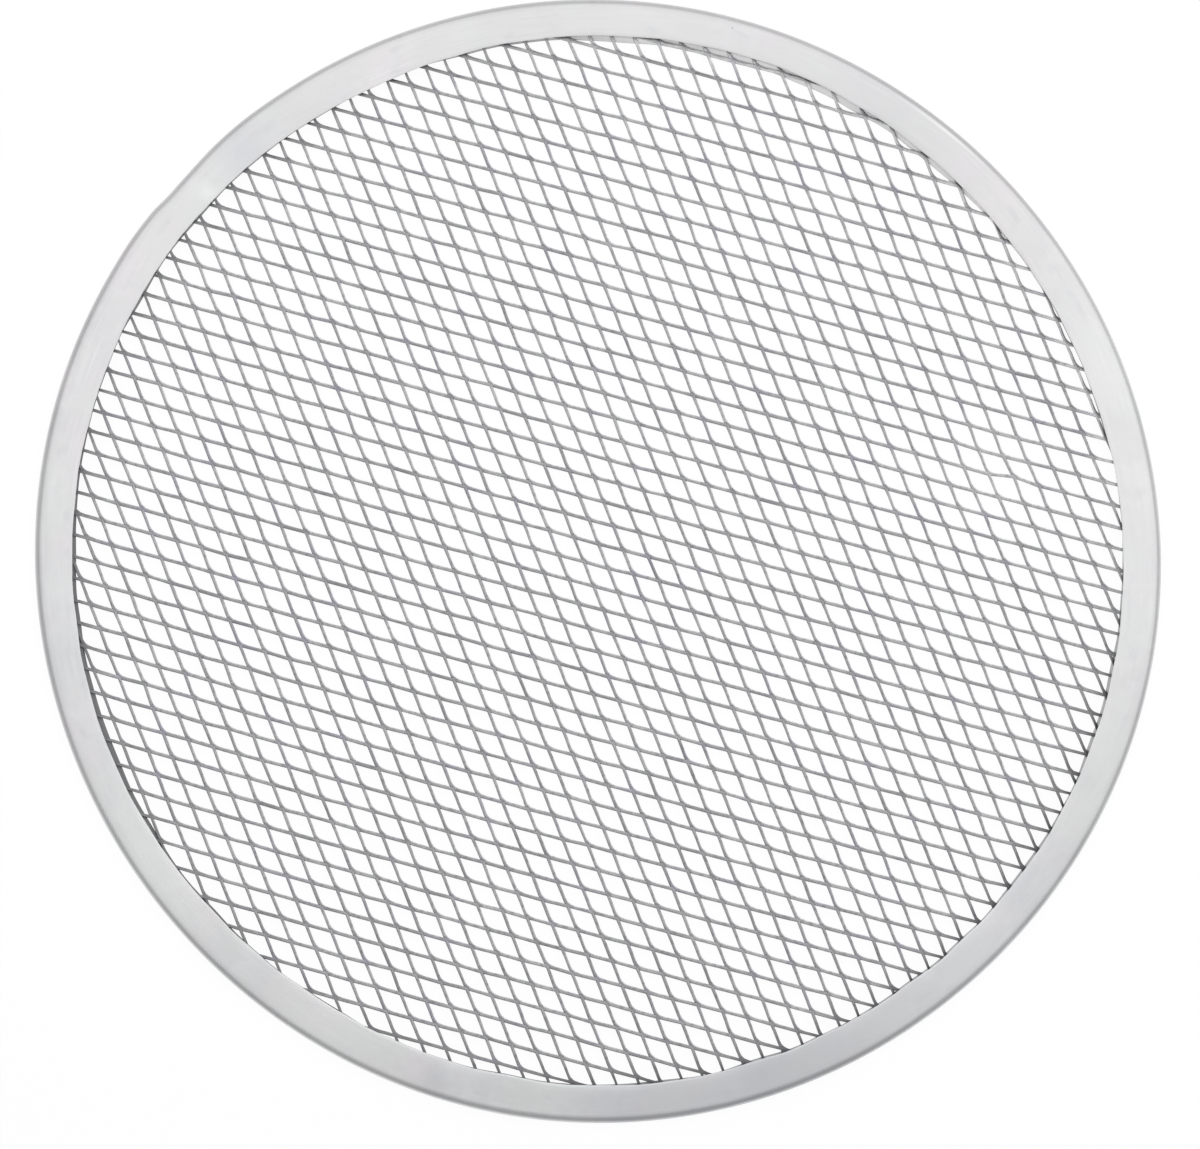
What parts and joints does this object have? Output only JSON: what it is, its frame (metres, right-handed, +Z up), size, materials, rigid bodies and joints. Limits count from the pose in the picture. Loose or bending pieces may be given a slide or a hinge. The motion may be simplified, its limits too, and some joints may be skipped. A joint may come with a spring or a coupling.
{
  "type": "pizza screen",
  "caption": "Flat round baking screen: a disc of raised diamond mesh in a folded metal rim, which carries a pizza in the oven and lets heat reach its base.",
  "frame": {"origin": "middle of the flat underside of the rim, which the screen lies on", "axes": "+Z up, square to the screen; +X to the right and +Y to the top of the reference picture"},
  "size_m": [0.305, 0.305, 0.0032],
  "materials": {
    "mesh": "bare sheared and stretched aluminium, mid grey",
    "rim": "bare satin aluminium, pale, faintly mottled"
  },
  "bodies": {
    "root": {"mesh_disc": "mesh", "rim": "rim"}
  },
  "joints": []
}
